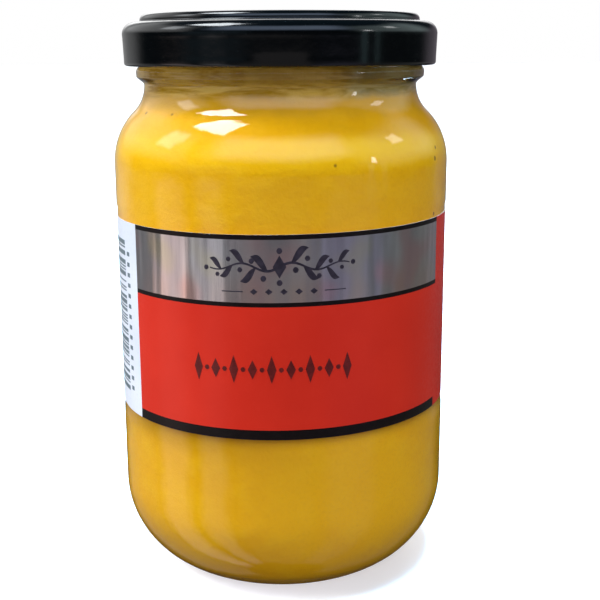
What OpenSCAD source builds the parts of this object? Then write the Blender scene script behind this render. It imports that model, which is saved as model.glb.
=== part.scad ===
// Round glass jar of mustard with a twist-off metal lid and a wrap-round paper label.
// Millimetres, +Z up. The origin is the middle of the jar's foot, on the surface it stands on.
// The front of the label faces -Y.

/* [Glass] */
// Height of the glass from the surface it stands on to its rim
jar_h = 121.3; // [100:0.1:150]
// Diameter of the straight wall
body_d = 74.3; // [66:0.1:92]
// Thickness of the wall
wall_t = 2.6; // [1.8:0.1:3.6]
// Thickness of the glass from the foot's plane up to the inside floor
floor_z = 4.6; // [3.4:0.1:6]
// Radius of the rounded lower edge
heel_r = 20.3; // [16:0.1:25]
// Angle below the horizontal at which the lower edge turns into the foot
heel_angle = 62; // [50:1:70]
// Radius of the foot, on which the jar stands
foot_r = 6; // [4.5:0.1:8]
// Width of the flat ring that bears on the surface
bearing_w = 2; // [1:0.1:3]
// Height of the hollow under the base
push_up_h = 1.8; // [1:0.1:2.6]
// Radius of the convex shoulder
shoulder_r = 15.2; // [12:0.1:19]
// Radius of the concave curve from the shoulder to the neck
neck_curve_r = 8; // [6:0.1:10]

/* [Mouth] */
// Diameter of the neck at its waist
neck_d = 60.1; // [50:0.1:72]
// Thickness of the glass at the neck
neck_wall_t = 2.55; // [2:0.05:3.4]
// Height from the neck's waist to the rim
finish_h = 12.9; // [12:0.1:16]
// How far the mouth's wall under the lid stands out past the waist
finish_out = 1.15; // [0.8:0.05:1.4]
// How far the bead below the lid stands out past the waist
bead_out = 1.7; // [1.5:0.05:2.4]
// Height of the bead's middle over the neck's waist
bead_rise = 2.5; // [2:0.1:2.8]
// Height of the bead
bead_h = 2.1; // [1.4:0.1:2.4]
// Rounding of the rim's two edges
rim_r = 0.6; // [0.3:0.05:0.7]
// How far the thread stands out from the mouth's wall
thread_out = 1.4; // [0.8:0.05:1.7]
// Height of the thread's profile
thread_h = 1.8; // [1.2:0.1:2]
// How far round the mouth each length of thread runs
thread_arc = 58; // [40:1:70]
// Rise of each length of thread
thread_slope = 3; // [1:0.5:4]
// Height of the thread's middle over the lugs that hook under it
thread_over_lug = 1; // [0.9:0.05:2]
// Number of lengths of thread, and of lugs in the lid
starts = 4; // [3:1:6]

/* [Lid] */
// Clearance between the thread and the inside of the skirt
lid_clearance = 1.3; // [1:0.05:1.8]
// How much wider in radius the skirt is at its top than at its hem
skirt_flare = 0.18; // [0:0.02:0.4]
// Height from the hem to the lid's ledge
skirt_h = 9.2; // [8.4:0.1:9.8]
// Thickness of the sheet metal
sheet_t = 0.3; // [0.2:0.05:0.4]
// Rounding between the skirt and the ledge
lid_edge_r = 2.6; // [1.5:0.1:3]
// Radius of the rolled hem
hem_r = 0.75; // [0.5:0.05:0.8]
// How far the raised ring's outer wall stands inside the mouth's wall
ring_in = 0.7; // [0.6:0.05:0.85]
// Width of the raised ring
ring_w = 5; // [3:0.1:12]
// Height of the raised ring over the ledge
ring_h = 1.7; // [1.4:0.1:2]
// Rounding of the raised ring's outer edge
ring_edge_r = 1.3; // [0.8:0.05:1.35]
// Depth of the sunk panel under the raised ring
panel_drop = 1.25; // [1.1:0.05:1.35]
// Rounding of the raised ring's inner edge
panel_edge_r = 0.7; // [0.45:0.05:0.75]
// Rounding of the creases where the sheet turns upward
crease_r = 0.35; // [0.1:0.05:0.35]
// Reach of each lug inward from the hem
lug_reach = 0.9; // [0.4:0.1:1.2]
// Height of each lug
lug_h = 1.1; // [0.7:0.1:1.2]
// How far round the hem each lug runs
lug_arc = 16; // [8:1:24]

/* [Label] */
// Height from the top of the rounded lower edge to the label
label_low_gap = 19.64; // [8:0.02:30]
// Height from the label to the start of the shoulder
label_high_gap = 11.06; // [6:0.02:16]
// Thickness of the label
label_t = 0.12; // [0.08:0.01:0.16]
// Depth of the shallow recess that the label lies in
recess_depth = 0.25; // [0.18:0.01:0.4]
// Height of the recess beyond each end of the label
recess_gap = 1.5; // [0.9:0.1:3]
// Slope at each end of the recess
recess_bevel = 0.8; // [0.4:0.1:1.2]
// How far the label leans, with its right side higher
label_tilt = 0.52; // [0:0.01:1]
// Gap between the label's two ends at the back
label_gap = 7; // [3:0.5:20]

/* [Mustard] */
// Height from the mustard's surface at the wall up to the rim
headspace_h = 16.5; // [14:0.1:24]
// How far the surface sinks from the wall towards the middle
surface_dip = 0.7; // [0:0.1:1.5]
// Distance from the wall over which the surface sinks
surface_curl = 5; // [2:0.5:10]

/* [Hidden] */
$fn = 96;
arc_step = 5;
over = 1;

body_r = body_d / 2;
neck_r = neck_d / 2;
bore_r = neck_r - neck_wall_t;
finish_r = neck_r + finish_out;
bead_r = neck_r + bead_out;
thread_r = finish_r + thread_out;

// Outside of the glass
heel_c = [body_r - heel_r, foot_r + (heel_r - foot_r) * sin(heel_angle)];
foot_c = heel_c + (heel_r - foot_r) * [cos(heel_angle), -sin(heel_angle)];
bearing_r = foot_c[0] - bearing_w;
waist_z = jar_h - finish_h;
out_turn = acos(1 - (body_r - neck_r) / (shoulder_r + neck_curve_r));
shoulder_z = waist_z - (shoulder_r + neck_curve_r) * sin(out_turn);
bead_z = waist_z + bead_rise;

// Inside of the glass
inner_r = body_r - wall_t;
inner_heel_r = heel_r - wall_t;
inner_foot_r = foot_r - wall_t + 0.6;
inner_angle = asin((heel_c[1] - inner_foot_r - floor_z) / (inner_heel_r - inner_foot_r));
inner_foot_c = heel_c + (inner_heel_r - inner_foot_r) * [cos(inner_angle), -sin(inner_angle)];
inner_shoulder_r = shoulder_r - wall_t;
inner_curve_r = neck_curve_r + wall_t;
in_turn = acos(1 - (inner_r - bore_r) / (inner_shoulder_r + inner_curve_r));
inner_waist_z = shoulder_z + (inner_shoulder_r + inner_curve_r) * sin(in_turn);

// Label
label_low = heel_c[1] + label_low_gap;
label_high = shoulder_z - label_high_gap;
label_in_r = body_r - recess_depth;
label_out_r = label_in_r + label_t;
recess_low = label_low - recess_gap;
recess_high = label_high + recess_gap;

// Lid
ledge_z = jar_h + sheet_t;
hem_z = ledge_z - skirt_h;
hem_out_r = thread_r + lid_clearance + sheet_t;
lid_r = hem_out_r + skirt_flare;
lug_z = hem_z + hem_r;
thread_z = lug_z + lug_h / 2 + thread_over_lug;
ring_r = finish_r - ring_in;
ring_top = ledge_z + ring_h;
panel_r = ring_r - ring_w;
panel_z = ring_top - panel_drop;

// Mustard
surface_z = jar_h - headspace_h;

// Points along an arc from angle a0 to a1
function arc(c, r, a0, a1) =
    let (n = max(2, ceil(abs(a1 - a0) / arc_step)))
    [for (i = [0:n]) c + r * [cos(a0 + (a1 - a0) * i / n), sin(a0 + (a1 - a0) * i / n)]];

// Outline of the hollow under the base, from the axis to the bearing ring
function push_up() =
    let (n = 8, flat_r = bearing_r / 3)
    concat(
        [[0, push_up_h]],
        [for (i = [0:n]) [
            flat_r + (bearing_r - flat_r) * i / n,
            push_up_h * (1 + cos(180 * i / n)) / 2
        ]]
    );

// Outside of the glass, from the axis under the base up to the rim and back to the axis
module jar_outside() {
    polygon(concat(
        push_up(),
        arc(foot_c, foot_r, -90, -heel_angle),
        arc(heel_c, heel_r, -heel_angle, 0),
        [
            [body_r, recess_low - recess_bevel],
            [label_in_r, recess_low],
            [label_in_r, recess_high],
            [body_r, recess_high + recess_bevel]
        ],
        arc([body_r - shoulder_r, shoulder_z], shoulder_r, 0, out_turn),
        arc([neck_r + neck_curve_r, waist_z], neck_curve_r, 180 + out_turn, 180),
        bead(),
        [[finish_r, bead_z + bead_h / 2 + over / 4]],
        arc([finish_r - rim_r, jar_h - rim_r], rim_r, 0, 90),
        [[0, jar_h]]
    ));
}

// Half-round bead over the neck, swelling from the waist and closing on the mouth's wall
function bead() =
    let (n = 10, foot = (bead_z - bead_h / 2) - waist_z)
    concat(
        [for (i = [1:n - 1]) [
            neck_r + (bead_r - neck_r) * (1 - cos(180 * i / n)) / 2,
            waist_z + (foot + bead_h / 4) * i / n
        ]],
        [[bead_r, bead_z - bead_h / 4], [bead_r, bead_z + bead_h / 4]],
        [[(bead_r + finish_r) / 2, bead_z + bead_h / 2 - bead_h / 12]]
    );

// Inside of the glass, from the floor up to a height above the rim
module jar_inside() {
    polygon(concat(
        [[0, floor_z]],
        arc(inner_foot_c, inner_foot_r, -90, -inner_angle),
        arc(heel_c, inner_heel_r, -inner_angle, 0),
        arc([inner_r - inner_shoulder_r, shoulder_z], inner_shoulder_r, 0, in_turn),
        arc([bore_r + inner_curve_r, inner_waist_z], inner_curve_r, 180 + in_turn, 180),
        arc([bore_r + rim_r, jar_h - rim_r], rim_r, 180, 90),
        [[bore_r + rim_r, jar_h + over], [0, jar_h + over]]
    ));
}

// One length of thread, centred on +X, leaning up its slope
module thread_length() {
    root = finish_r - over;
    translate([0, 0, thread_z]) rotate([thread_slope, 0, 0]) rotate([0, 0, -thread_arc / 2])
        rotate_extrude(angle = thread_arc)
            polygon([
                [root, -3 * thread_h / 4],
                [thread_r, -thread_h / 6],
                [thread_r, thread_h / 6],
                [root, 3 * thread_h / 4]
            ]);
}

// Clear glass jar
module jar() {
    color([0.86, 0.9, 0.87, 0.35]) union() {
        rotate_extrude() difference() {
            jar_outside();
            jar_inside();
        }
        for (i = [0:starts - 1]) rotate([0, 0, 360 * i / starts]) thread_length();
    }
}

// Mustard, filling the glass up to its level
module mustard() {
    color([0.87, 0.66, 0.13]) rotate_extrude() intersection() {
        jar_inside();
        polygon(concat(
            [[0, 0], [body_r, 0], [body_r, surface_z]],
            [for (i = [0:8]) [
                bore_r - surface_curl * i / 8,
                surface_z - surface_dip * (1 - cos(180 * i / 8)) / 2
            ]],
            [[0, surface_z - surface_dip]]
        ));
    }
}

// Outline of the lid's outer face, or with t of the face inside the sheet
function lid_face(t) = concat(
    [[0, panel_z - t]],
    arc([panel_r - crease_r, panel_z + crease_r], crease_r + t, -90, 0),
    arc([panel_r + panel_edge_r, ring_top - panel_edge_r], panel_edge_r - t, 180, 90),
    arc([ring_r - ring_edge_r, ring_top - ring_edge_r], ring_edge_r - t, 90, 0),
    arc([ring_r + crease_r, ledge_z + crease_r], crease_r + t, 180, 270),
    arc([lid_r - lid_edge_r, ledge_z - lid_edge_r], lid_edge_r - t, 90, 0),
    [[hem_out_r - t, lug_z]]
);

// One lug, pressed inward from the hem, centred on +X
module lug() {
    back = hem_out_r - hem_r;
    tip = hem_out_r - 2 * hem_r - lug_reach;
    rotate([0, 0, -lug_arc / 2]) rotate_extrude(angle = lug_arc)
        polygon([
            [back, lug_z - lug_h / 2],
            [tip + lug_h / 4, lug_z - lug_h / 2],
            [tip, lug_z - lug_h / 4],
            [tip, lug_z + lug_h / 4],
            [tip + lug_h / 4, lug_z + lug_h / 2],
            [back, lug_z + lug_h / 2]
        ]);
}

// Pressed metal twist-off lid, painted black
module lid() {
    color([0.05, 0.05, 0.06]) union() {
        rotate_extrude() union() {
            difference() {
                polygon(concat(lid_face(0), [[0, lug_z]]));
                polygon(concat(lid_face(sheet_t), [[hem_out_r - sheet_t, hem_z], [0, hem_z]]));
            }
            translate([hem_out_r - hem_r, lug_z]) circle(r = hem_r);
        }
        for (i = [0:starts - 1]) rotate([0, 0, 360 * i / starts]) lug();
    }
}

// Paper label, wrapped almost all the way round, its ends meeting short of each other behind
module label() {
    gap_angle = 360 * label_gap / (2 * PI * label_out_r);
    mid = (label_low + label_high) / 2;
    tall = label_high - label_low;
    color([0.87, 0.22, 0.15]) intersection() {
        rotate([0, 0, 90 + gap_angle / 2]) rotate_extrude(angle = 360 - gap_angle)
            translate([label_in_r, label_low - tall / 2]) square([label_t, 2 * tall]);
        translate([0, 0, mid]) rotate([0, -label_tilt, 0]) cube([3 * body_r, 3 * body_r, tall], center = true);
    }
}

jar();
mustard();
lid();
label();
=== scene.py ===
"""Looks of a round glass jar of mustard with a black twist-off lid and a wrap-round label.

Lengths are in millimetres until a mesh is made, in the frame of the CAD model: +Z up, the
origin in the middle of the jar's foot, the front of the label facing -Y. Azimuths are in
degrees from the front (-Y) towards +X.
"""

import math
import random

import bpy
import numpy as np
from mathutils import Matrix, Vector


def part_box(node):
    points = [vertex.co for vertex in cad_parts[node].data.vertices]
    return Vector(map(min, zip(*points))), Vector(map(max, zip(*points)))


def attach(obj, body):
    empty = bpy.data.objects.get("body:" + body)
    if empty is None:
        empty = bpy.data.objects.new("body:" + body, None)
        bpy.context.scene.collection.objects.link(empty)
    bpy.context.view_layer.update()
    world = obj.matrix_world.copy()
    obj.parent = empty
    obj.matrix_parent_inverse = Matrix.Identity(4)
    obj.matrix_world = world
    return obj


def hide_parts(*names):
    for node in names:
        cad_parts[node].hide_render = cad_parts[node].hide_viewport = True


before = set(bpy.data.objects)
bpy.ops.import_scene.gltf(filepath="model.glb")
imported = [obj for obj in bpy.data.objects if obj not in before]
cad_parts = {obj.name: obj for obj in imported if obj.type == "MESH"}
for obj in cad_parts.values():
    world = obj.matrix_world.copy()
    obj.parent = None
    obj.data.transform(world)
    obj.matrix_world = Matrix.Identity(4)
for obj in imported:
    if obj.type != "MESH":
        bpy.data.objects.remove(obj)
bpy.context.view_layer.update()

MM = 0.001
SEED = 41
rng = random.Random(SEED)
scene = bpy.context.scene


# ---------------------------------------------------------------- camera
CAM_BACK = 247.14
CAM_HIGH = 116.11
CAM_PITCH = math.radians(13.011)
CAM_ROLL = math.radians(-0.287)
CAM_YAW = math.radians(0.950)
CAM_LENS = 65.51


def make_camera():
    right0 = Vector((math.cos(CAM_YAW), -math.sin(CAM_YAW), 0))
    ahead0 = Vector((math.sin(CAM_YAW), math.cos(CAM_YAW), 0))
    ahead = math.cos(CAM_PITCH) * ahead0 - math.sin(CAM_PITCH) * Vector((0, 0, 1))
    up0 = math.sin(CAM_PITCH) * ahead0 + math.cos(CAM_PITCH) * Vector((0, 0, 1))
    right = math.cos(CAM_ROLL) * right0 + math.sin(CAM_ROLL) * up0
    up = math.cos(CAM_ROLL) * up0 - math.sin(CAM_ROLL) * right0
    data = bpy.data.cameras.new("camera")
    data.sensor_width = 36
    data.lens = CAM_LENS
    data.clip_start = 0.01
    cam = bpy.data.objects.new("camera", data)
    turn = Matrix((right, up, -ahead)).transposed().to_4x4()
    cam.matrix_world = Matrix.Translation(Vector((0, -CAM_BACK, CAM_HIGH)) * MM) @ turn
    scene.collection.objects.link(cam)
    scene.camera = cam


make_camera()


# ---------------------------------------------------------------- sizes of the CAD model
def box_mm(node):
    low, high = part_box(node)
    return low / MM, high / MM


_, jar_high = box_mm("jar")
lid_low, lid_high = box_mm("lid")
label_low_corner, label_high_corner = box_mm("label")
mustard_low, mustard_high = box_mm("mustard")

body_r = jar_high.x
jar_h = jar_high.z
wall_t, floor_z = 2.6, mustard_low.z
heel_r, heel_angle, foot_r, bearing_w, push_up_h = 20.3, 62.0, 6.0, 2.0, 1.8
shoulder_r, neck_curve_r = 15.2, 8.0
neck_r, neck_wall_t, finish_h = 30.05, 2.55, 12.9
finish_out, bead_out, bead_rise, bead_h, rim_r = 1.15, 1.7, 2.5, 2.1, 0.6
thread_out, thread_h, thread_arc, thread_slope, thread_over_lug = 1.4, 1.8, 58.0, 3.0, 1.0
starts = 4
skirt_flare, sheet_t, lid_edge_r, hem_r = 0.18, 0.3, 2.6, 0.75
ring_in, ring_w, ring_edge_r = 0.7, 5.0, 1.3
panel_drop, panel_edge_r, crease_r = 1.25, 0.7, 0.35
lug_reach, lug_h, lug_arc = 0.9, 1.1, 16.0
label_t, recess_depth, recess_gap, recess_bevel = 0.12, 0.25, 1.5, 0.8
label_tilt, label_gap = math.radians(0.52), 7.0
surface_dip, surface_curl = 0.7, 5.0

bore_r = neck_r - neck_wall_t
finish_r = neck_r + finish_out
bead_r = neck_r + bead_out
heel_c = (body_r - heel_r, foot_r + (heel_r - foot_r) * math.sin(math.radians(heel_angle)))
foot_c = (heel_c[0] + (heel_r - foot_r) * math.cos(math.radians(heel_angle)), foot_r)
bearing_r = foot_c[0] - bearing_w
waist_z = jar_h - finish_h
out_turn = math.degrees(math.acos(1 - (body_r - neck_r) / (shoulder_r + neck_curve_r)))
shoulder_z = waist_z - (shoulder_r + neck_curve_r) * math.sin(math.radians(out_turn))
bead_z = waist_z + bead_rise
inner_r = body_r - wall_t
inner_heel_r = heel_r - wall_t
inner_foot_r = foot_r - wall_t + 0.6
inner_angle = math.degrees(math.asin((heel_c[1] - inner_foot_r - floor_z) / (inner_heel_r - inner_foot_r)))
inner_foot_c = (
    heel_c[0] + (inner_heel_r - inner_foot_r) * math.cos(math.radians(inner_angle)),
    heel_c[1] - (inner_heel_r - inner_foot_r) * math.sin(math.radians(inner_angle)),
)
inner_shoulder_r = shoulder_r - wall_t
inner_curve_r = neck_curve_r + wall_t
in_turn = math.degrees(math.acos(1 - (inner_r - bore_r) / (inner_shoulder_r + inner_curve_r)))
inner_waist_z = shoulder_z + (inner_shoulder_r + inner_curve_r) * math.sin(math.radians(in_turn))
label_in_r = body_r - recess_depth
label_out_r = label_in_r + label_t
label_half_lean = math.tan(label_tilt) * label_out_r
label_low = label_low_corner.z + label_half_lean
label_high = label_high_corner.z - label_half_lean
recess_low = label_low - recess_gap
recess_high = label_high + recess_gap
ledge_z = jar_h + sheet_t
hem_z = lid_low.z
hem_out_r = lid_high.x - skirt_flare
lid_r = lid_high.x
lug_z = hem_z + hem_r
thread_z = lug_z + lug_h / 2 + thread_over_lug
ring_r = finish_r - ring_in
ring_top = lid_high.z
panel_r = ring_r - ring_w
panel_z = ring_top - panel_drop
surface_z = mustard_high.z


# ---------------------------------------------------------------- mesh helpers
def arc(centre, r, a0, a1, step=3.0):
    n = max(2, math.ceil(abs(a1 - a0) / step))
    turn = [math.radians(a0 + (a1 - a0) * i / n) for i in range(n + 1)]
    return [(centre[0] + r * math.cos(t), centre[1] + r * math.sin(t)) for t in turn]


def fine(points, step):
    """The same outline with no piece of it longer than step."""
    out = [points[0]]
    for p, q in zip(points, points[1:]):
        n = max(1, math.ceil(math.dist(p, q) / step))
        out += [(p[0] + (q[0] - p[0]) * i / n, p[1] + (q[1] - p[1]) * i / n) for i in range(1, n + 1)]
    return out


def no_repeats(points):
    out = [points[0]]
    for p in points[1:]:
        if math.dist(p, out[-1]) > 0.01:
            out.append(p)
    return out


def smooth(x):
    x = np.clip(x, 0, 1)
    return x * x * (3 - 2 * x)


def angle_off(a, centre):
    """Signed angle in degrees from a centre, in -180 to 180."""
    return (a - centre + 180) % 360 - 180


def waves(a, z, terms, seed):
    """Smooth, seamless unevenness between -1 and 1 over azimuth a (degrees) and height z."""
    draw = random.Random(seed)
    total, size = 0, 0
    for k in range(terms):
        turns = draw.randint(1, 2 + 2 * k)
        rise = draw.uniform(0.02, 0.09) * (1 + 0.4 * k)
        phase = draw.uniform(0, 2 * math.pi)
        weight = 1 / (1 + 0.6 * k)
        total = total + weight * np.sin(turns * np.radians(a) + rise * z * 2 + phase)
        size += weight
    return total / size


def make_object(name, verts, faces, materials, face_materials=None, sharp=None):
    mesh = bpy.data.meshes.new(name)
    mesh.from_pydata([tuple(v) for v in verts], [], faces)
    for m in materials:
        mesh.materials.append(m)
    if face_materials is not None:
        mesh.polygons.foreach_set("material_index", np.array(face_materials, np.int32))
    mesh.polygons.foreach_set("use_smooth", np.ones(len(mesh.polygons), bool))
    if sharp is not None:
        mesh.set_sharp_from_angle(angle=math.radians(sharp))
    mesh.update()
    obj = bpy.data.objects.new(name, mesh)
    scene.collection.objects.link(obj)
    return obj


def revolve(name, outline, azimuths, materials, shape=None, pick=None, sharp=None):
    """Skins an outline that runs from the axis out and back to the axis, round the jar's axis.
    shape moves its points, pick gives the material of the face between two rows."""
    outline = np.array(no_repeats(outline))
    a, row = np.meshgrid(np.array(azimuths, float), np.arange(1, len(outline) - 1))
    r, z = outline[row, 0], outline[row, 1]
    if shape:
        r, z = shape(r, z, a, row)
    t = np.radians(a)
    grid = np.stack([r * np.sin(t), -r * np.cos(t), z], -1)
    rows, n = grid.shape[:2]
    ends = np.array([[0, 0, z[0].mean() + outline[0, 1] - outline[1, 1]],
                     [0, 0, z[-1].mean() + outline[-1, 1] - outline[-2, 1]]])
    verts = np.concatenate([grid.reshape(-1, 3), ends]) * MM
    faces, kinds = [], []
    first, last = rows * n, rows * n + 1
    for j in range(n):
        faces.append((first, (j + 1) % n, j))
        kinds.append(0)
    for i in range(rows - 1):
        kind = pick(i) if pick else 0
        for j in range(n):
            k = (j + 1) % n
            faces.append((i * n + j, i * n + k, (i + 1) * n + k, (i + 1) * n + j))
            kinds.append(kind)
    kind = pick(rows - 1) if pick else 0
    for j in range(n):
        faces.append((last, (rows - 1) * n + j, (rows - 1) * n + (j + 1) % n))
        kinds.append(kind)
    return make_object(name, verts, faces, materials, kinds, sharp)


# ---------------------------------------------------------------- material helpers
def linear(r, g, b):
    """Linear colour of an sRGB colour given in 0 to 255."""
    def one(c):
        c /= 255
        return c / 12.92 if c <= 0.04045 else ((c + 0.055) / 1.055) ** 2.4
    return (one(r), one(g), one(b), 1)


class Nodes:
    """Short names for the nodes of one material or world."""

    def __init__(self, tree):
        self.tree = tree

    def add(self, kind, values=None, **props):
        node = self.tree.nodes.new("ShaderNode" + kind)
        for k, v in props.items():
            setattr(node, k, v)
        for k, v in (values or {}).items():
            if isinstance(v, bpy.types.NodeSocket):
                self.tree.links.new(v, node.inputs[k])
            else:
                node.inputs[k].default_value = v
        return node

    def math(self, op, a, b=0.0, clamp=False):
        return self.add("Math", {0: a, 1: b}, operation=op, use_clamp=clamp).outputs[0]

    def noise(self, vector, scale, detail=2.0, rough=0.5, distortion=0.0):
        return self.add("TexNoise", {"Vector": vector, "Scale": scale, "Detail": detail,
                                     "Roughness": rough, "Distortion": distortion}).outputs["Fac"]

    def range(self, value, lo, hi, to_lo=0.0, to_hi=1.0, soft=True):
        return self.add("MapRange", {"Value": value, "From Min": lo, "From Max": hi, "To Min": to_lo,
                                     "To Max": to_hi},
                        interpolation_type="SMOOTHSTEP" if soft else "LINEAR").outputs[0]

    def mix(self, fac, a, b):
        node = self.add("Mix", data_type="RGBA")
        colour_in = [s for s in node.inputs if s.type == "RGBA"]
        for socket, v in ((node.inputs[0], fac), (colour_in[0], a), (colour_in[1], b)):
            if isinstance(v, bpy.types.NodeSocket):
                self.tree.links.new(v, socket)
            else:
                socket.default_value = v
        return [s for s in node.outputs if s.type == "RGBA"][0]

    def bump(self, height, distance, strength=1.0):
        return self.add("Bump", {"Height": height, "Distance": distance, "Strength": strength}).outputs[0]


def new_material(name):
    mat = bpy.data.materials.new(name)
    mat.use_nodes = True
    n = Nodes(mat.node_tree)
    shader = mat.node_tree.nodes["Principled BSDF"]
    place = n.add("TexCoord").outputs["Object"]
    return mat, n, shader, place


def feed(n, shader, **sockets):
    """Sets or links the shader's sockets; an underscore stands for a space."""
    for k, v in sockets.items():
        socket = shader.inputs[k.replace("_", " ")]
        if isinstance(v, bpy.types.NodeSocket):
            n.tree.links.new(v, socket)
        else:
            socket.default_value = v


def unrolled(n, place):
    """Azimuth (radians) and height (metres) of a point, as sockets."""
    part = n.add("SeparateXYZ", {0: place})
    x, y, z = part.outputs
    back = n.math("MULTIPLY", y, -1.0)
    return n.math("ARCTAN2", x, back), z


# ---------------------------------------------------------------- materials
def glass_material():
    mat, n, shader, place = new_material("clear_glass")
    ripple = n.math("ADD", n.noise(place, 60, 2), n.math("MULTIPLY", n.noise(place, 190, 2), 0.22))
    rub = n.range(n.noise(place, 420, 4, 0.6), 0.62, 0.8)
    feed(n, shader, Base_Color=(0.955, 0.975, 0.955, 1), Transmission_Weight=1.0, IOR=1.5,
         Roughness=n.math("MULTIPLY_ADD", rub, 0.035),
         Normal=n.bump(ripple, 0.00075, 0.5))
    rough = shader.inputs["Roughness"].links[0].from_node
    rough.inputs[2].default_value = 0.004
    return mat


def mustard_material():
    mat, n, shader, place = new_material("mustard_paste")
    drift = n.noise(place, 34, 3, 0.55, 0.4)
    cloud = n.noise(place, 210, 4, 0.6)
    grain = n.noise(place, 1500, 3, 0.6)
    paste = n.mix(n.range(drift, 0.3, 0.7), (0.79, 0.38, 0.002, 1), (0.85, 0.435, 0.003, 1))
    paste = n.mix(n.range(cloud, 0.42, 0.75, 0, 0.28), paste, (0.88, 0.50, 0.012, 1))
    paste = n.mix(n.range(grain, 0.45, 0.8, 0, 0.22), paste, (0.60, 0.25, 0.006, 1))
    # husk specks: small cells, only a few of them dark
    cells = n.add("TexVoronoi", {"Vector": place, "Scale": 190.0}, feature="F1")
    near = n.range(cells.outputs["Distance"], 0.06, 0.11, 1, 0)
    pick = n.add("SeparateColor", {0: cells.outputs["Color"]}).outputs[0]
    speck = n.math("MULTIPLY", near, n.range(pick, 0.80, 0.83), True)
    paste = n.mix(n.math("MULTIPLY", speck, 0.75), paste, linear(92, 54, 20))
    # a thin smear on the neck, coloured duller and darker than the bulk behind it: painted shade under the
    # lid, streaked with painted dark lines of the neck's glass
    part = n.add("SeparateXYZ", {0: place})
    ragged = n.math("MULTIPLY_ADD", n.noise(place, 260, 3), 0.0024)
    ragged.node.inputs[2].default_value = 0.0
    height = n.math("SUBTRACT", part.outputs[2], ragged)
    thin = n.range(height, (surface_z - 1.2) * MM, (surface_z + 1.6) * MM)
    az, z = unrolled(n, place)
    along = n.add("CombineXYZ", {0: n.math("MULTIPLY", az, 2.4), 1: 0.0,
                                 2: n.math("MULTIPLY", z, 430.0)}).outputs[0]
    painted_glass_lines = n.noise(along, 1.0, 4, 0.6, 0.6)
    shaded_smear = n.mix(n.range(painted_glass_lines, 0.36, 0.62), (0.30, 0.165, 0.008, 1), (0.62, 0.41, 0.085, 1))
    # on the right side the smear's colour is a painted dim grey-olive: painted shade of the inside, as seen
    # through clear glass
    right = n.math("MULTIPLY", n.range(az, math.radians(20), math.radians(34)),
                   n.range(az, math.radians(96), math.radians(80)))
    painted_dim_inside = n.mix(n.range(painted_glass_lines, 0.4, 0.62), (0.19, 0.165, 0.055, 1), (0.34, 0.30, 0.13, 1))
    shaded_smear = n.mix(n.math("MULTIPLY", right, 0.85), shaded_smear, painted_dim_inside)
    # a band at and just below the mustard's level is coloured darker: painted shade of the lid
    lid_shade_band = n.math("MULTIPLY", n.range(height, (surface_z - 5.5) * MM, (surface_z - 1.6) * MM),
                   n.range(height, (surface_z + 1.2) * MM, (surface_z + 0.2) * MM))
    paste = n.mix(n.math("MULTIPLY", lid_shade_band, 0.55), paste, (0.50, 0.27, 0.006, 1))
    # above the level the paste takes the smear's colour with its painted shade
    paste = n.mix(n.math("MULTIPLY", thin, 0.9), paste, shaded_smear)
    feed(n, shader, Base_Color=paste, Roughness=n.range(cloud, 0.3, 0.7, 0.32, 0.5), Specular_IOR_Level=0.06,
         Subsurface_Weight=0.12, Subsurface_Radius=(0.9, 0.5, 0.12), Subsurface_Scale=0.0025,
         Normal=n.bump(n.math("ADD", cloud, n.math("MULTIPLY", grain, 0.25)), 0.0004, 0.6))
    return mat


def lacquer_material():
    mat, n, shader, place = new_material("lid_lacquer")
    peel = n.noise(place, 520, 2)
    az, z = unrolled(n, place)
    scuff_at = n.add("CombineXYZ", {0: n.math("MULTIPLY", az, 2.2), 1: 0.0,
                                    2: n.math("MULTIPLY", z, 900.0)}).outputs[0]
    scuffs = n.range(n.noise(scuff_at, 3.0, 5, 0.7), 0.6, 0.74)
    dust = n.range(n.noise(place, 2600, 2), 0.7, 0.78)
    wear = n.math("MAXIMUM", n.math("MULTIPLY", scuffs, 0.5), dust)
    colour = n.mix(n.math("MULTIPLY", wear, 0.5), (0.0008, 0.0013, 0.0016, 1), (0.007, 0.009, 0.010, 1))
    feed(n, shader, Base_Color=colour, Roughness=n.range(n.math("ADD", wear, peel), 0.4, 1.6, 0.13, 0.34),
         Specular_IOR_Level=0.45, Coat_Weight=0.15, Coat_Roughness=0.08, Normal=n.bump(peel, 0.00008, 0.25))
    return mat


def liner_material():
    mat, n, shader, place = new_material("lid_liner")
    tone = n.noise(place, 160, 3)
    colour = n.mix(n.range(tone, 0.3, 0.7), linear(168, 142, 92), linear(184, 158, 108))
    feed(n, shader, Base_Color=colour, Roughness=n.range(tone, 0.3, 0.7, 0.34, 0.46),
         Normal=n.bump(n.noise(place, 700, 2), 0.0001, 0.3))
    return mat


def paper_material():
    mat, n, shader, place = new_material("label_paper")
    fibre = n.noise(place, 1300, 4, 0.65)
    tone = n.noise(place, 60, 2)
    colour = n.mix(n.range(tone, 0.3, 0.7), linear(226, 230, 234), linear(238, 240, 243))
    colour = n.mix(n.range(fibre, 0.5, 0.8, 0, 0.3), colour, linear(205, 208, 212))
    feed(n, shader, Base_Color=colour, Roughness=n.range(fibre, 0.3, 0.7, 0.36, 0.48), Coat_Weight=0.25,
         Coat_Roughness=0.25, Normal=n.bump(fibre, 0.00005, 0.35))
    return mat


def red_material():
    mat, n, shader, place = new_material("label_red")
    fibre = n.noise(place, 1300, 4, 0.65)
    tone = n.noise(place, 48, 3)
    colour = n.mix(n.range(tone, 0.3, 0.7), (0.64, 0.019, 0.005, 1), (0.70, 0.024, 0.007, 1))
    colour = n.mix(n.range(fibre, 0.5, 0.8, 0, 0.16), colour, (0.76, 0.045, 0.022, 1))
    feed(n, shader, Base_Color=colour, Roughness=n.range(fibre, 0.3, 0.7, 0.34, 0.46),
         Specular_IOR_Level=0.3, Coat_Weight=0.12, Coat_Roughness=0.2, Normal=n.bump(fibre, 0.00005, 0.35))
    return mat


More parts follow.
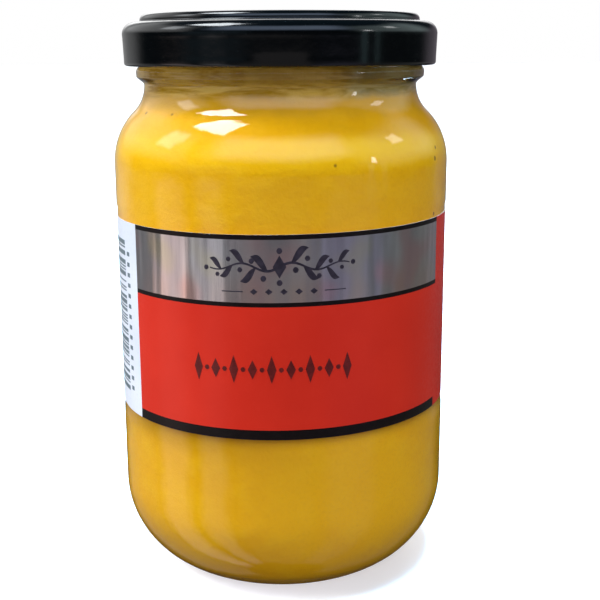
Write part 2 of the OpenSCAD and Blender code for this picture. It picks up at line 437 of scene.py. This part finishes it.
def rule_material():
    mat, n, shader, place = new_material("label_black")
    fibre = n.noise(place, 1500, 3)
    colour = n.mix(n.range(fibre, 0.35, 0.75), linear(9, 2, 2), linear(18, 7, 7))
    feed(n, shader, Base_Color=colour, Roughness=n.range(fibre, 0.3, 0.7, 0.32, 0.44),
         Specular_IOR_Level=0.25, Normal=n.bump(fibre, 0.00004, 0.3))
    return mat


def foil_material():
    mat, n, shader, place = new_material("label_foil")
    az, z = unrolled(n, place)
    # the foil's light and dark upright streaks and its pink, olive and warm tints are painted reflection of
    # the studio
    reflection_streak_place = n.add("CombineXYZ", {0: n.math("MULTIPLY", az, 5.0), 1: 0.0,
                                  2: n.math("MULTIPLY", z, 16.0)}).outputs[0]
    reflection_tint_place = n.add("CombineXYZ", {0: n.math("MULTIPLY", az, 3.2), 1: 4.0,
                                 2: n.math("MULTIPLY", z, 75.0)}).outputs[0]
    hair = n.add("CombineXYZ", {0: n.math("MULTIPLY", az, 190.0), 1: 0.0,
                                2: n.math("MULTIPLY", z, 40.0)}).outputs[0]
    reflection_streak_and_ripple = n.noise(reflection_streak_place, 1.0, 2, 0.5)
    painted_reflection_tint = n.noise(reflection_tint_place, 1.0, 1, 0.4)
    brushed = n.noise(hair, 1.0, 2, 0.5)
    colour = n.mix(n.range(reflection_streak_and_ripple, 0.3, 0.7), linear(188, 184, 190), linear(226, 224, 226))
    colour = n.mix(n.range(painted_reflection_tint, 0.5, 0.68, 0, 0.6), colour, linear(232, 182, 186))
    colour = n.mix(n.range(painted_reflection_tint, 0.46, 0.3, 0, 0.5), colour, linear(214, 208, 166))
    # warmer towards the lower edge of the foil band: painted reflection
    painted_warm_reflection = n.range(z, (label_high - 13) * MM, (label_high - 5) * MM, 0.5, 0.0)
    colour = n.mix(n.math("MULTIPLY", painted_warm_reflection, n.range(reflection_streak_and_ripple, 0.35, 0.65)), colour, linear(228, 190, 172))
    # the same streaks also raise a real ripple in the foil
    relief = n.math("ADD", n.math("MULTIPLY", reflection_streak_and_ripple, 20.0), n.math("MULTIPLY", brushed, 0.3))
    feed(n, shader, Base_Color=colour, Metallic=1.0, Roughness=n.range(brushed, 0.3, 0.7, 0.20, 0.25),
         Normal=n.bump(relief, 0.00006, 0.6))
    return mat


def core_material():
    """The paper's cut edge, greyer and browner than its face."""
    mat, n, shader, place = new_material("label_core")
    tone = n.noise(place, 700, 3)
    feed(n, shader, Base_Color=n.mix(n.range(tone, 0.35, 0.65), linear(150, 132, 122), linear(196, 184, 176)),
         Roughness=0.7, Normal=n.bump(tone, 0.00004, 0.4))
    return mat


def ink_material(name, dark, light):
    mat, n, shader, place = new_material(name)
    tone = n.noise(place, 900, 4, 0.6)
    feed(n, shader, Base_Color=n.mix(n.range(tone, 0.35, 0.7), dark, light),
         Roughness=n.range(tone, 0.3, 0.7, 0.3, 0.42), Normal=n.bump(tone, 0.00003, 0.3))
    return mat


glass = glass_material()
paste = mustard_material()
lacquer = lacquer_material()
liner = liner_material()
paper = paper_material()
red = red_material()
black = rule_material()
foil = foil_material()
core = core_material()
ink_dark = ink_material("ink_dark", linear(34, 28, 38), linear(52, 44, 54))
ink_maroon = ink_material("ink_maroon", linear(84, 10, 8), linear(108, 20, 14))
ink_grey = ink_material("ink_grey", linear(84, 100, 104), linear(112, 126, 129))


# ---------------------------------------------------------------- glass
SEAMS = (90.0, -90.0)          # azimuths of the mould's seams
SEAM_ROWS = (-1.0, -0.55, -0.3, 0.3, 0.55, 1.0)     # more columns beside each seam
GLASS_COLUMNS, LID_COLUMNS, MUSTARD_COLUMNS = 240, 240, 256


def columns(count):
    """Azimuths of a whole turn in equal steps, from the back."""
    return [i * 360 / count - 180 for i in range(count)]


glass_azimuths = sorted(set(columns(GLASS_COLUMNS)) | set(s + d for s in SEAMS for d in SEAM_ROWS))


def inside_wave(r, z, a):
    """Unevenness of the glass's inner face, which the mustard follows."""
    return 0.09 * waves(a, z, 4, 7) * smooth((z - floor_z) / 8) * smooth((jar_h - 4 - z) / 8)


def thread_bump(a, z):
    """How far the thread stands out at an azimuth and height on the mouth's wall."""
    half = 0.507 * thread_h
    total = 0
    for i in range(starts):
        off = angle_off(a, 90 + 360 * i / starts)
        climb = math.sin(math.radians(thread_slope))
        middle = thread_z + (finish_r + thread_out) * np.sin(np.radians(off)) * climb
        ridge = smooth((half - np.abs(z - middle)) / (half - thread_h / 6))
        ends = smooth((thread_arc / 2 - np.abs(off)) / 3)
        total = total + thread_out * ridge * ends
    return total


def make_glass():
    n = 12
    flat_r = bearing_r / 3
    outside = [(0, push_up_h)] + [
        (flat_r + (bearing_r - flat_r) * i / n, push_up_h * (1 + math.cos(math.pi * i / n)) / 2)
        for i in range(n + 1)
    ]
    outside = fine(outside, 1.6)
    outside += arc(foot_c, foot_r, -90, -heel_angle)
    outside += arc(heel_c, heel_r, -heel_angle, 0)
    outside += fine([(body_r, heel_c[1]), (body_r, recess_low - recess_bevel)], 2)
    outside += [(label_in_r, recess_low)]
    outside += fine([(label_in_r, recess_low), (label_in_r, recess_high)], 4)
    outside += [(body_r, recess_high + recess_bevel)]
    outside += fine([(body_r, recess_high + recess_bevel), (body_r, shoulder_z)], 2)
    outside += arc((body_r - shoulder_r, shoulder_z), shoulder_r, 0, out_turn, 2.5)
    outside += arc((neck_r + neck_curve_r, waist_z), neck_curve_r, 180 + out_turn, 180, 4)
    foot = bead_z - bead_h / 2 - waist_z
    outside += [
        (neck_r + (bead_r - neck_r) * (1 - math.cos(math.pi * i / 12)) / 2,
         waist_z + (foot + bead_h / 4) * i / 12)
        for i in range(1, 12)
    ]
    crown = [
        (bead_r - 0.06, bead_z - bead_h / 4),
        (bead_r, bead_z - bead_h / 8),
        (bead_r, bead_z + bead_h / 8),
        (bead_r - 0.06, bead_z + bead_h / 4),
        ((bead_r + finish_r) / 2, bead_z + bead_h / 2 - bead_h / 12),
        (finish_r, bead_z + bead_h / 2 + 0.25),
    ]
    outside += crown
    outside += fine([crown[-1], (finish_r, jar_h - rim_r)], 0.24)[1:]
    outside += arc((finish_r - rim_r, jar_h - rim_r), rim_r, 0, 90, 15)
    count = len(no_repeats(outside))
    inside = arc((bore_r + rim_r, jar_h - rim_r), rim_r, 90, 180, 15)
    inside += fine([(bore_r, jar_h - rim_r), (bore_r, inner_waist_z)], 1.2)
    inside += arc((bore_r + inner_curve_r, inner_waist_z), inner_curve_r, 180, 180 + in_turn, 4)
    inside += arc((inner_r - inner_shoulder_r, shoulder_z), inner_shoulder_r, in_turn, 0, 4)
    inside += fine([(inner_r, shoulder_z), (inner_r, heel_c[1])], 3)
    inside += arc(heel_c, inner_heel_r, 0, -inner_angle, 4)
    inside += arc(inner_foot_c, inner_foot_r, -inner_angle, -90, 6)
    inside += fine([(inner_foot_c[0], floor_z), (0, floor_z)], 3)

    def shape(r, z, a, row):
        outer = row < count
        wall = outer & (z > 2)
        # moulded glass: a faint wave, and a seam down each side where the mould's halves met
        dip = -0.075 + 0.03 * waves(a, z, 5, 3)
        seam = sum(np.exp(-((angle_off(a, s) / 0.42) ** 2)) for s in SEAMS)
        free = smooth((z - 3) / 4) * smooth((bead_z + 1 - z) / 1)
        level = np.where((z > recess_low - 0.1) & (z < recess_high + 0.1), 0.0, 1.0)
        move = np.where(wall, (dip + 0.045 * seam) * free * level, 0.0)
        mouth = outer & (z > bead_z + bead_h / 2) & (r > finish_r - 0.05)
        move = np.where(mouth, thread_bump(a, z), move)
        # short ribs on the ring that the jar stands on
        bearing = outer & (z < 0.5) & (r > bearing_r - 1.6) & (r < foot_c[0] + 1.6)
        ribs = 0.12 * (0.5 - 0.5 * np.cos(np.radians(a) * 60))
        lift = np.where(bearing, ribs * smooth((2.4 - np.abs(r - bearing_r - 1)) / 1.2), 0.0)
        move = np.where(~outer & (z > floor_z + 0.5), move + inside_wave(r, z, a), move)
        return r + move, z + lift

    obj = revolve("jar_glass", outside + inside, glass_azimuths, [glass], shape)
    # light goes through clear glass, and what is inside is lit once, by the lamps themselves
    obj.visible_shadow = False
    obj.visible_diffuse = False
    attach(obj, "root")
    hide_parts("jar")
    return obj


# ---------------------------------------------------------------- mustard
REACH = 0.16      # how far the mustard reaches into the wall, so that no air gap shows
SMEAR_T = 0.45    # thickness of the smear left on the neck above the level


def smear_height(a):
    """How far the mustard clings to the neck above its level."""
    clear = smooth((a - 27) / 5) * smooth((86 - a) / 9)
    clear = np.maximum(clear, 0.6 * smooth((a + 128) / 10) * smooth((-98 - a) / 8))
    height = 7.6 * (1 - 0.1 * clear)
    ragged = 0.9 * waves(a, 0 * a, 9, 21) + 0.6 * waves(3 * a, 0 * a, 7, 22)
    return np.clip(0.5 + height + ragged * (0.4 + 0.6 * clear), 0.25, 8.4)


def make_mustard():
    out = fine([(0, floor_z - REACH), (inner_foot_c[0], floor_z - REACH)], 3)
    out += arc(inner_foot_c, inner_foot_r + REACH, -90, -inner_angle, 6)
    out += arc(heel_c, inner_heel_r + REACH, -inner_angle, 0, 3)
    out += fine([(inner_r + REACH, heel_c[1]), (inner_r + REACH, shoulder_z)], 2)
    out += arc((inner_r - inner_shoulder_r, shoulder_z), inner_shoulder_r + REACH, 0, in_turn, 3)
    neck = arc((bore_r + inner_curve_r, inner_waist_z), inner_curve_r - REACH, 180 + in_turn, 180, 2)
    out += [p for p in neck if p[1] < surface_z - 0.4]
    out = no_repeats(out)
    count = len(out)
    # rows of the smear, up its outer face and down its inner face, then rows of the top
    up, down = 16, 10
    rise = [(bore_r, surface_z + 0.1 * i) for i in range(up)]
    fall = [(bore_r - 1, surface_z + 1 - 0.1 * i) for i in range(down)]
    radii = [bore_r - 1.2 - (bore_r - 1.2) * (i / 26) for i in range(27)]
    top = [(r, surface_z + 3) for r in radii]
    outline = out + rise + fall + top

    def wall_at(z):
        """Radius of the glass's inner face at a height in the neck."""
        drop = np.clip(inner_waist_z - z, 0, None)
        return bore_r + inner_curve_r - np.sqrt(np.clip(inner_curve_r ** 2 - drop ** 2, 0, None))

    def shape(r, z, a, row):
        i = row.astype(float)
        high = smear_height(a)
        level = surface_z + 0.25 * waves(a, 0 * a, 6, 31)
        base = out[-1][1]
        up_z = base + (level + high - base) * (i - count + 1) / up
        in_up = (row >= count) & (row < count + up)
        z1 = np.where(in_up, up_z, z)
        r1 = np.where(in_up, wall_at(up_z) + REACH, r)
        thick = SMEAR_T * (0.75 + 0.35 * waves(2 * a, 0 * a, 6, 33))
        t = np.clip((i - count - up + 1) / down, 0, None)
        in_down = (row >= count + up) & (row < count + up + down)
        down_z = level + high - (high + surface_dip * 0.2) * t ** 1.2
        body = thick * np.sin(np.clip(t, 0, 1) * math.pi / 2) ** 0.6 + 0.35 * np.clip(t, 0, 1) ** 5
        z1 = np.where(in_down, down_z, z1)
        r1 = np.where(in_down, wall_at(down_z) - body, r1)
        in_top = row >= count + up + down
        off = bore_r + 1.0 - r
        dip = surface_dip * smooth(off / surface_curl)
        x, y = r * np.sin(np.radians(a)), -r * np.cos(np.radians(a))
        inner = smooth(off / 6)
        folds = 0.5 * np.sin(0.33 * r + np.radians(a) * 2 + 0.6) + 0.35 * np.sin(0.21 * x + 0.4 * y + 1.1)
        mound = 2.0 * np.exp(-(((x + 2) / 6.5) ** 2 + ((y + 12) / 5.5) ** 2))
        pit = -1.3 * np.exp(-(((x - 8) / 5) ** 2 + ((y + 2) / 6) ** 2))
        top_z = surface_z - 0.15 - dip + inner * (0.55 * folds + mound + pit - 0.3)
        z1 = np.where(in_top, top_z, z1)
        r1 = np.where(in_top, r, r1)
        on_wall = (row < count) & (z > floor_z + 0.5)
        r1 = np.where(on_wall | in_up, r1 + inside_wave(r1, z1, a), r1)
        return r1, z1

    obj = revolve("mustard_fill", outline, columns(MUSTARD_COLUMNS), [paste], shape)
    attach(obj, "root")
    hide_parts("mustard")
    return obj


# ---------------------------------------------------------------- lid
def lid_face(t):
    points = [(0, panel_z - t)]
    points += fine([(0, panel_z - t), (panel_r - crease_r, panel_z - t)], 3)
    points += arc((panel_r - crease_r, panel_z + crease_r), crease_r + t, -90, 0, 15)
    points += arc((panel_r + panel_edge_r, ring_top - panel_edge_r), panel_edge_r - t, 180, 90, 12)
    points += arc((ring_r - ring_edge_r, ring_top - ring_edge_r), ring_edge_r - t, 90, 0, 7.5)
    points += arc((ring_r + crease_r, ledge_z + crease_r), crease_r + t, 180, 270, 15)
    points += arc((lid_r - lid_edge_r, ledge_z - lid_edge_r), lid_edge_r - t, 90, 0, 6)
    points += fine([(lid_r - t, ledge_z - lid_edge_r), (hem_out_r - t, lug_z + 0.9)], 0.8)
    return no_repeats(points)


def make_lid():
    inside = lid_face(sheet_t)
    hem_c = (hem_out_r - hem_r, lug_z)
    meet = math.degrees(math.acos((hem_r - sheet_t) / hem_r))
    hem = arc(hem_c, hem_r, meet, 360, 12)
    outline = no_repeats(inside + hem + lid_face(0)[::-1])

    def shape(r, z, a, row):
        lug = sum(smooth((lug_arc / 2 + 1.5 - np.abs(angle_off(a, 90 + 360 * i / starts))) / 3)
                  for i in range(starts))
        near_hem = np.abs(z - lug_z) < hem_r + 0.01
        inward = smooth((hem_c[0] - r) / hem_r * 1.4)
        move = np.where(near_hem & (r < hem_c[0]), -lug_reach * lug * inward, 0.0)
        # the press leaves the skirt a hair out of round, and a dimple outside each lug
        skirt = (z < ledge_z - lid_edge_r) & (z > hem_z - 1)
        move = np.where(skirt, move - 0.03 * (1 + waves(a, z, 4, 51)), move)
        dimple = np.where(skirt & (r > hem_c[0]), -0.12 * lug * smooth((2.6 - (z - hem_z)) / 1.5), 0.0)
        return r + move + dimple, z

    def pick(row):
        return 1 if row < len(inside) - 2 else 0

    obj = revolve("lid_shell", outline, columns(LID_COLUMNS), [lacquer, liner], shape, pick)
    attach(obj, "root")
    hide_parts("lid")
    return obj


# ---------------------------------------------------------------- label
PAPER, BLACK, RED, FOIL, CORE = range(5)
low_rule = (0.0, 2.08)
red_band = (2.08, 27.79)
middle_rule = (27.79, 28.69)
foil_band = (28.69, 41.35)
high_rule = (41.35, 42.28)
front_left, front_right = -56.0, 63.5
EDGE = 0.05        # paper showing at a cut edge


def lean(a, z):
    """Height of a point of the label, which leans with its right side higher."""
    return z + math.tan(label_tilt) * label_out_r * np.sin(np.radians(a))


def band(h):
    """Print of the front at a height above the label's lower edge."""
    if h < EDGE or h > label_high - label_low - EDGE:
        return CORE
    if h < low_rule[1] or middle_rule[0] < h < middle_rule[1] or h > high_rule[0]:
        return BLACK
    return RED if h < red_band[1] else FOIL


def make_label():
    tall = label_high - label_low
    gap = math.degrees(label_gap / label_out_r)
    ends = (-180 + gap / 2, 180 - gap / 2)
    heights = {0, EDGE, low_rule[1], red_band[1], middle_rule[1], foil_band[1], tall - EDGE, tall}
    heights |= {tall * i / 24 for i in range(1, 24)}
    heights = sorted(heights)
    heights = [h for i, h in enumerate(heights) if i == 0 or h - heights[i - 1] > 0.05]
    marks = {ends[0], ends[0] + 0.15, front_left, front_left + 0.35, front_right, ends[1] - 0.15, ends[1]}
    steps = {ends[0] + (ends[1] - ends[0]) * i / 260 for i in range(1, 260)}
    steps = {s for s in steps if min(abs(s - m) for m in marks) > 0.3}
    azimuths = sorted(marks | steps)
    a, h = np.meshgrid(np.array(azimuths), np.array(heights))
    z = lean(a, label_low + h)
    # the paper lies a little unevenly on the glass
    ripple = 0.022 * waves(a, z, 6, 61) - 0.022
    t = np.radians(a)
    faces_at = []
    for r in (label_out_r + ripple, label_in_r + 0 * ripple - 0.02):
        faces_at.append(np.stack([r * np.sin(t), -r * np.cos(t), z], -1).reshape(-1, 3))
    verts = np.concatenate(faces_at) * MM
    rows, cols = a.shape
    back = rows * cols
    faces, kinds = [], []
    for i in range(rows - 1):
        mid_h = (heights[i] + heights[i + 1]) / 2
        for j in range(cols - 1):
            mid_a = (azimuths[j] + azimuths[j + 1]) / 2
            p, q, s, u = i * cols + j, i * cols + j + 1, (i + 1) * cols + j + 1, (i + 1) * cols + j
            faces.append((p, q, s, u))
            if mid_a < front_left or mid_a > ends[1] - 0.15:
                kinds.append(PAPER)
            elif mid_a > front_right:
                kinds.append(CORE if band(mid_h) == CORE else RED)
            else:
                kinds.append(band(mid_h))
            faces.append((back + u, back + s, back + q, back + p))
            kinds.append(PAPER)
    for j in range(cols - 1):
        faces.append((back + j, back + j + 1, j + 1, j))
        top = (rows - 1) * cols + j
        faces.append((top, top + 1, back + top + 1, back + top))
        kinds += [CORE, CORE]
    for i in range(rows - 1):
        left, right = i * cols, i * cols + cols - 1
        faces.append((back + left, left, left + cols, back + left + cols))
        faces.append((right, back + right, back + right + cols, right + cols))
        kinds += [CORE, CORE]
    obj = make_object("label_wrap", verts, faces, [paper, black, red, foil, core], kinds, 40)
    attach(obj, "root")
    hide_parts("label")
    return obj


class Ink:
    """Flat shapes printed on the label, each made as a thin strip of columns that follows the paper."""

    def __init__(self):
        self.verts, self.faces, self.kinds = [], [], []

    def strip(self, s0, s1, low, high, kind, centre, thickness=0.022):
        """A shape between two curves low(u) and high(u), for u from 0 to 1 as s runs from s0 to s1 (mm)."""
        n = max(6, math.ceil(abs(s1 - s0) / 0.5))
        inner, outer = label_out_r - 0.03, label_out_r + thickness
        start = len(self.verts)
        for i in range(n + 1):
            u = i / n
            a = centre[0] + math.degrees((s0 + (s1 - s0) * u) / label_out_r)
            t = math.radians(a)
            lo, hi = low(u), high(u)
            if hi - lo < 0.02:
                lo, hi = (lo + hi) / 2 - 0.01, (lo + hi) / 2 + 0.01
            for r in (inner, outer):
                for h in (lo, hi):
                    z = float(lean(a, centre[1] + h))
                    self.verts.append((r * math.sin(t) * MM, -r * math.cos(t) * MM, z * MM))
        for i in range(n):
            p, q = start + 4 * i, start + 4 * i + 4
            self.faces += [(p + 2, q + 2, q + 3, p + 3), (p, p + 1, q + 1, q),
                           (p, q, q + 2, p + 2), (p + 1, p + 3, q + 3, q + 1)]
        self.faces += [(start, start + 2, start + 3, start + 1)]
        e = start + 4 * n
        self.faces += [(e, e + 1, e + 3, e + 2)]
        self.kinds += [kind] * (4 * n + 2)

    def bar(self, s0, s1, z0, z1, kind, centre):
        self.strip(s0, s1, lambda u: z0, lambda u: z1, kind, centre)

    def lozenge(self, s, z, half_s, half_z, kind, centre):
        wide = lambda u: half_z * (1 - abs(2 * u - 1))
        self.strip(s - half_s, s + half_s, lambda u: z - wide(u), lambda u: z + wide(u), kind, centre)

    def disc(self, s, z, r, kind, centre, tall=1.0):
        wide = lambda u: tall * r * math.sqrt(max(0, 1 - (2 * u - 1) ** 2))
        self.strip(s - r, s + r, lambda u: z - wide(u), lambda u: z + wide(u), kind, centre)

    def leaf(self, s, z, length, rise, width, kind, centre):
        """A leaf from a point on the stem, out along s by length and up by rise."""
        mid = lambda u: z + rise * math.sin(u * math.pi / 2)
        wide = lambda u: width * math.sin(math.pi * u ** 0.8) ** 1.2
        self.strip(s, s + length, lambda u: mid(u) - wide(u), lambda u: mid(u) + wide(u), kind, centre)


def make_print():
    ink = Ink()
    DARK, MAROON, GREY = range(3)
    # a plain sprig with seeds on the foil, on both sides of a seed head
    foil_mid = (-0.8, label_low + 35.95)
    stem = lambda s: 0.9 * math.sin(s * 0.62)
    for side in (-1, 1):
        line = lambda u, w: side * stem(14.2 * u) * (1 - 0.35 * u) + w * (1 - 0.6 * u)
        ink.strip(0, side * 14.2, lambda u: line(u, -0.3), lambda u: line(u, 0.3), DARK, foil_mid)
        for k in range(5):
            s = side * (2.3 + 2.35 * k)
            up = 1 if k % 2 == 0 else -1
            root = side * stem(abs(s)) * (1 - 0.35 * abs(s) / 14.2)
            size = 1 - 0.07 * k
            ink.leaf(s, root, side * 3.5 * size, up * 2.9 * size, 1.1 * size, DARK, foil_mid)
            ink.disc(s + side * 0.9, root - up * 1.5 * size, 0.6 * size, DARK, foil_mid)
        ink.disc(side * 15.0, line(1, 0), 0.5, DARK, foil_mid)
    ink.lozenge(0, 0, 1.35, 2.3, DARK, foil_mid)
    ink.disc(0, 3.2, 0.6, DARK, foil_mid)
    ink.disc(0, -3.2, 0.6, DARK, foil_mid)
    # rule, small marks, rule
    small = (0.5, label_low + 30.95)
    for side in (-1, 1):
        ink.bar(side * 8.2, side * 12.6, -0.1, 0.1, DARK, small)
    for k in range(-2, 3):
        ink.lozenge(3.0 * k, 0, 0.75, 0.62, DARK, small)
    # slender lozenges and dots on the red
    row = (-3.5, label_low + 14.9)
    for k in range(-4, 5):
        tall = 2.9 if k % 2 == 0 else 2.0
        ink.lozenge(3.9 * k, 0, 0.95, tall, MAROON, row)
        if k < 4:
            ink.disc(3.9 * k + 1.95, 0, 0.5, MAROON, row)
    # bars on the white side panel, and a column of short marks beside them
    code = (-70.5, label_low + 4.4)
    z = 0.0
    while z < 33.0:
        wide = rng.choice((0.33, 0.33, 0.66, 0.99))
        ink.bar(-5.6, 3.0, z, z + wide, GREY, code)
        z += wide + rng.choice((0.33, 0.33, 0.66, 0.99))
    for k in range(14):
        ink.bar(4.3, 5.7, 0.6 + 2.3 * k, 1.5 + 2.3 * k, GREY, code)
    # plain rules further round the white panel
    block = (-128.0, label_low + 6.0)
    for k in range(10):
        ink.bar(-19, 17 - 7 * (k % 4 == 3), 3.0 * k, 3.0 * k + 0.7, GREY, block)
    # a plain darker disc on the red side panel
    ink.disc(0, 0, 9.5, MAROON, (112.0, label_low + 20.0))
    obj = make_object("label_ink", ink.verts, ink.faces, [ink_dark, ink_maroon, ink_grey], ink.kinds, 30)
    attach(obj, "root")
    return obj


make_glass()
make_mustard()
make_lid()
make_label()
make_print()


# ---------------------------------------------------------------- floor and light
def make_floor():
    n = 64
    rings = [0.0, 0.15, 0.6, 2.5, 8.0]
    verts = [(0, 0, 0)]
    faces = []
    for r in rings[1:]:
        verts += [(r * math.cos(2 * math.pi * i / n), r * math.sin(2 * math.pi * i / n), 0) for i in range(n)]
    for i in range(n):
        faces.append((0, 1 + i, 1 + (i + 1) % n))
        for k in range(len(rings) - 2):
            p = 1 + k * n
            faces.append((p + i, p + n + i, p + n + (i + 1) % n, p + (i + 1) % n))
    mat, nodes, shader, place = new_material("floor_pale")
    tone = nodes.noise(place, 40, 3)
    pale = nodes.mix(nodes.range(tone, 0.3, 0.7), (0.82, 0.82, 0.815, 1), (0.84, 0.84, 0.835, 1))
    feed(nodes, shader, Base_Color=pale, Roughness=0.85, Emission_Color=(1, 1, 1, 1), Emission_Strength=0.25)
    floor = make_object("floor", verts, faces, [mat])
    floor.location.z = -0.0002
    # the dark lid and the foot show the dim studio, not a white floor
    floor.visible_glossy = False
    floor.visible_diffuse = False


def panel(n, az, el, a0, a1, e0, e1, soft_a, soft_e, strength, tint):
    """A soft lit panel of the studio between two azimuths and two elevations (degrees)."""
    rad = math.radians
    parts = [
        n.range(az, rad(a0 - soft_a), rad(a0 + soft_a)),
        n.range(az, rad(a1 - soft_a), rad(a1 + soft_a), 1, 0),
        n.range(el, rad(e0 - soft_e), rad(e0 + soft_e)),
        n.range(el, rad(e1 - soft_e), rad(e1 + soft_e), 1, 0),
    ]
    mask = parts[0]
    for p in parts[1:]:
        mask = n.math("MULTIPLY", mask, p)
    mask = n.math("MULTIPLY", mask, strength)
    colour = n.add("VectorMath", {0: tuple(tint), 3: mask}, operation="SCALE")
    return colour.outputs[0]


def make_studio():
    world = bpy.data.worlds.new("studio")
    scene.world = world
    world.use_nodes = True
    tree = world.node_tree
    tree.nodes.clear()
    n = Nodes(tree)
    place = n.add("TexCoord").outputs["Generated"]
    part = n.add("SeparateXYZ", {0: place})
    x, y, z = part.outputs
    az = n.math("ARCTAN2", x, n.math("MULTIPLY", y, -1.0))
    el = n.math("ARCSINE", z)
    WHITE, COOL = (1, 1, 1), (0.9, 0.96, 1.0)
    panels = [
        # tall window, high on the left, its lower light, and the wash round it
        (-99, -55, 51, 71, 2.0, 2.0, 18.0, COOL),
        (-100, -82, 24, 41, 3, 3, 3.6, COOL),
        (-152, -70, 10, 42, 9, 7, 1.0, WHITE),
        # weak light over the front
        (-52, 50, 20, 52, 14, 9, 1.9, (0.7, 0.88, 1.2)),
        # right: a weak wash and two small lamps
        (58, 130, 6, 42, 14, 8, 0.95, (0.8, 1.0, 1.0)),
        (62.5, 67, 8, 16, 0.8, 0.8, 9.0, WHITE),
        (89, 98, 25, 35, 1.2, 1.2, 4.0, WHITE),
        # streaks along the horizon that show in the lid's skirt
        (-72, -25, -4, 10, 9, 3, 0.16, (0.6, 0.9, 1.1)),
        (59, 64, -6, 8, 1.2, 3, 0.45, (0.6, 0.95, 1.0)),
        (70, 75, -6, 8, 1.2, 3, 0.3, (0.6, 0.95, 1.0)),
        # low boards and table edge, seen in the foil
        (-95, -69, -75, -6, 7, 2.5, 1.05, (1.0, 0.82, 0.78)),
        (-58, -40, -75, -6, 6, 2.5, 0.75, (1.0, 0.96, 0.98)),
        (-34, 24, -75, -6, 8, 2.5, 0.22, (1.0, 0.92, 0.92)),
        (28, 66, -75, -6, 8, 2.5, 0.28, (0.92, 0.88, 1.15)),
        (66, 140, -75, -6, 8, 2.5, 0.13, (1.0, 1.0, 0.95)),
        (-150, -100, -75, -6, 8, 2.5, 0.22, WHITE),
        # glancing light at the two sides
        (-170, -122, -14, 12, 10, 6, 0.34, WHITE),
        (128, 176, -14, 12, 10, 6, 0.16, (1.0, 0.86, 1.0)),
        # behind, so that the far side is lit too
        (-200, -160, 8, 50, 6, 8, 2.2, WHITE),
        (165, 200, 8, 50, 7, 8, 2.2, WHITE),
    ]
    total = None
    for a0, a1, e0, e1, sa, se, strength, tint in panels:
        colour = panel(n, az, el, a0, a1, e0, e1, sa, se, strength, tint)
        if total is None:
            total = colour
        else:
            total = n.add("VectorMath", {0: total, 1: colour}, operation="ADD").outputs[0]
    total = n.add("VectorMath", {0: total, 1: (0.014, 0.018, 0.021)}, operation="ADD").outputs[0]
    lit = n.add("Background", {"Color": total, "Strength": 1.0})
    seen = n.add("Background", {"Color": (1, 1, 1, 1), "Strength": 1.0})
    path = n.add("LightPath")
    both = n.add("MixShader", {0: path.outputs["Is Camera Ray"], 1: lit.outputs[0], 2: seen.outputs[0]})
    n.add("OutputWorld", {0: both.outputs[0]})


def lamp(name, az, el, away, size, watts, colour):
    """A square soft box facing the jar, which lights it without being mirrored in it."""
    data = bpy.data.lights.new(name, "AREA")
    data.shape = "SQUARE"
    data.size = size
    data.energy = watts
    data.color = colour
    obj = bpy.data.objects.new(name, data)
    a, e = math.radians(az), math.radians(el)
    out = Vector((math.sin(a) * math.cos(e), -math.cos(a) * math.cos(e), math.sin(e)))
    aim = Vector((0, 0, jar_h / 2 * MM))
    obj.matrix_world = Matrix.Translation(aim + out * away) @ out.to_track_quat("Z", "Y").to_matrix().to_4x4()
    obj.visible_glossy = False
    scene.collection.objects.link(obj)


make_floor()
make_studio()
lamp("top", 0, 89, 1.0, 0.24, 25.0, (0.51, 1.03, 1.5))
lamp("left", -94, 12, 1.2, 0.5, 5.0, (0.95, 1.0, 1.25))
lamp("fill_front", 20, 28, 1.2, 1.0, 5.2, (0.98, 0.80, 0.82))
lamp("fill_back", 165, 30, 1.2, 1.0, 6.0, (1, 1, 1))

scene.view_settings.view_transform = "Standard"
scene.view_settings.look = "None"
scene.view_settings.exposure = 0
scene.view_settings.gamma = 1
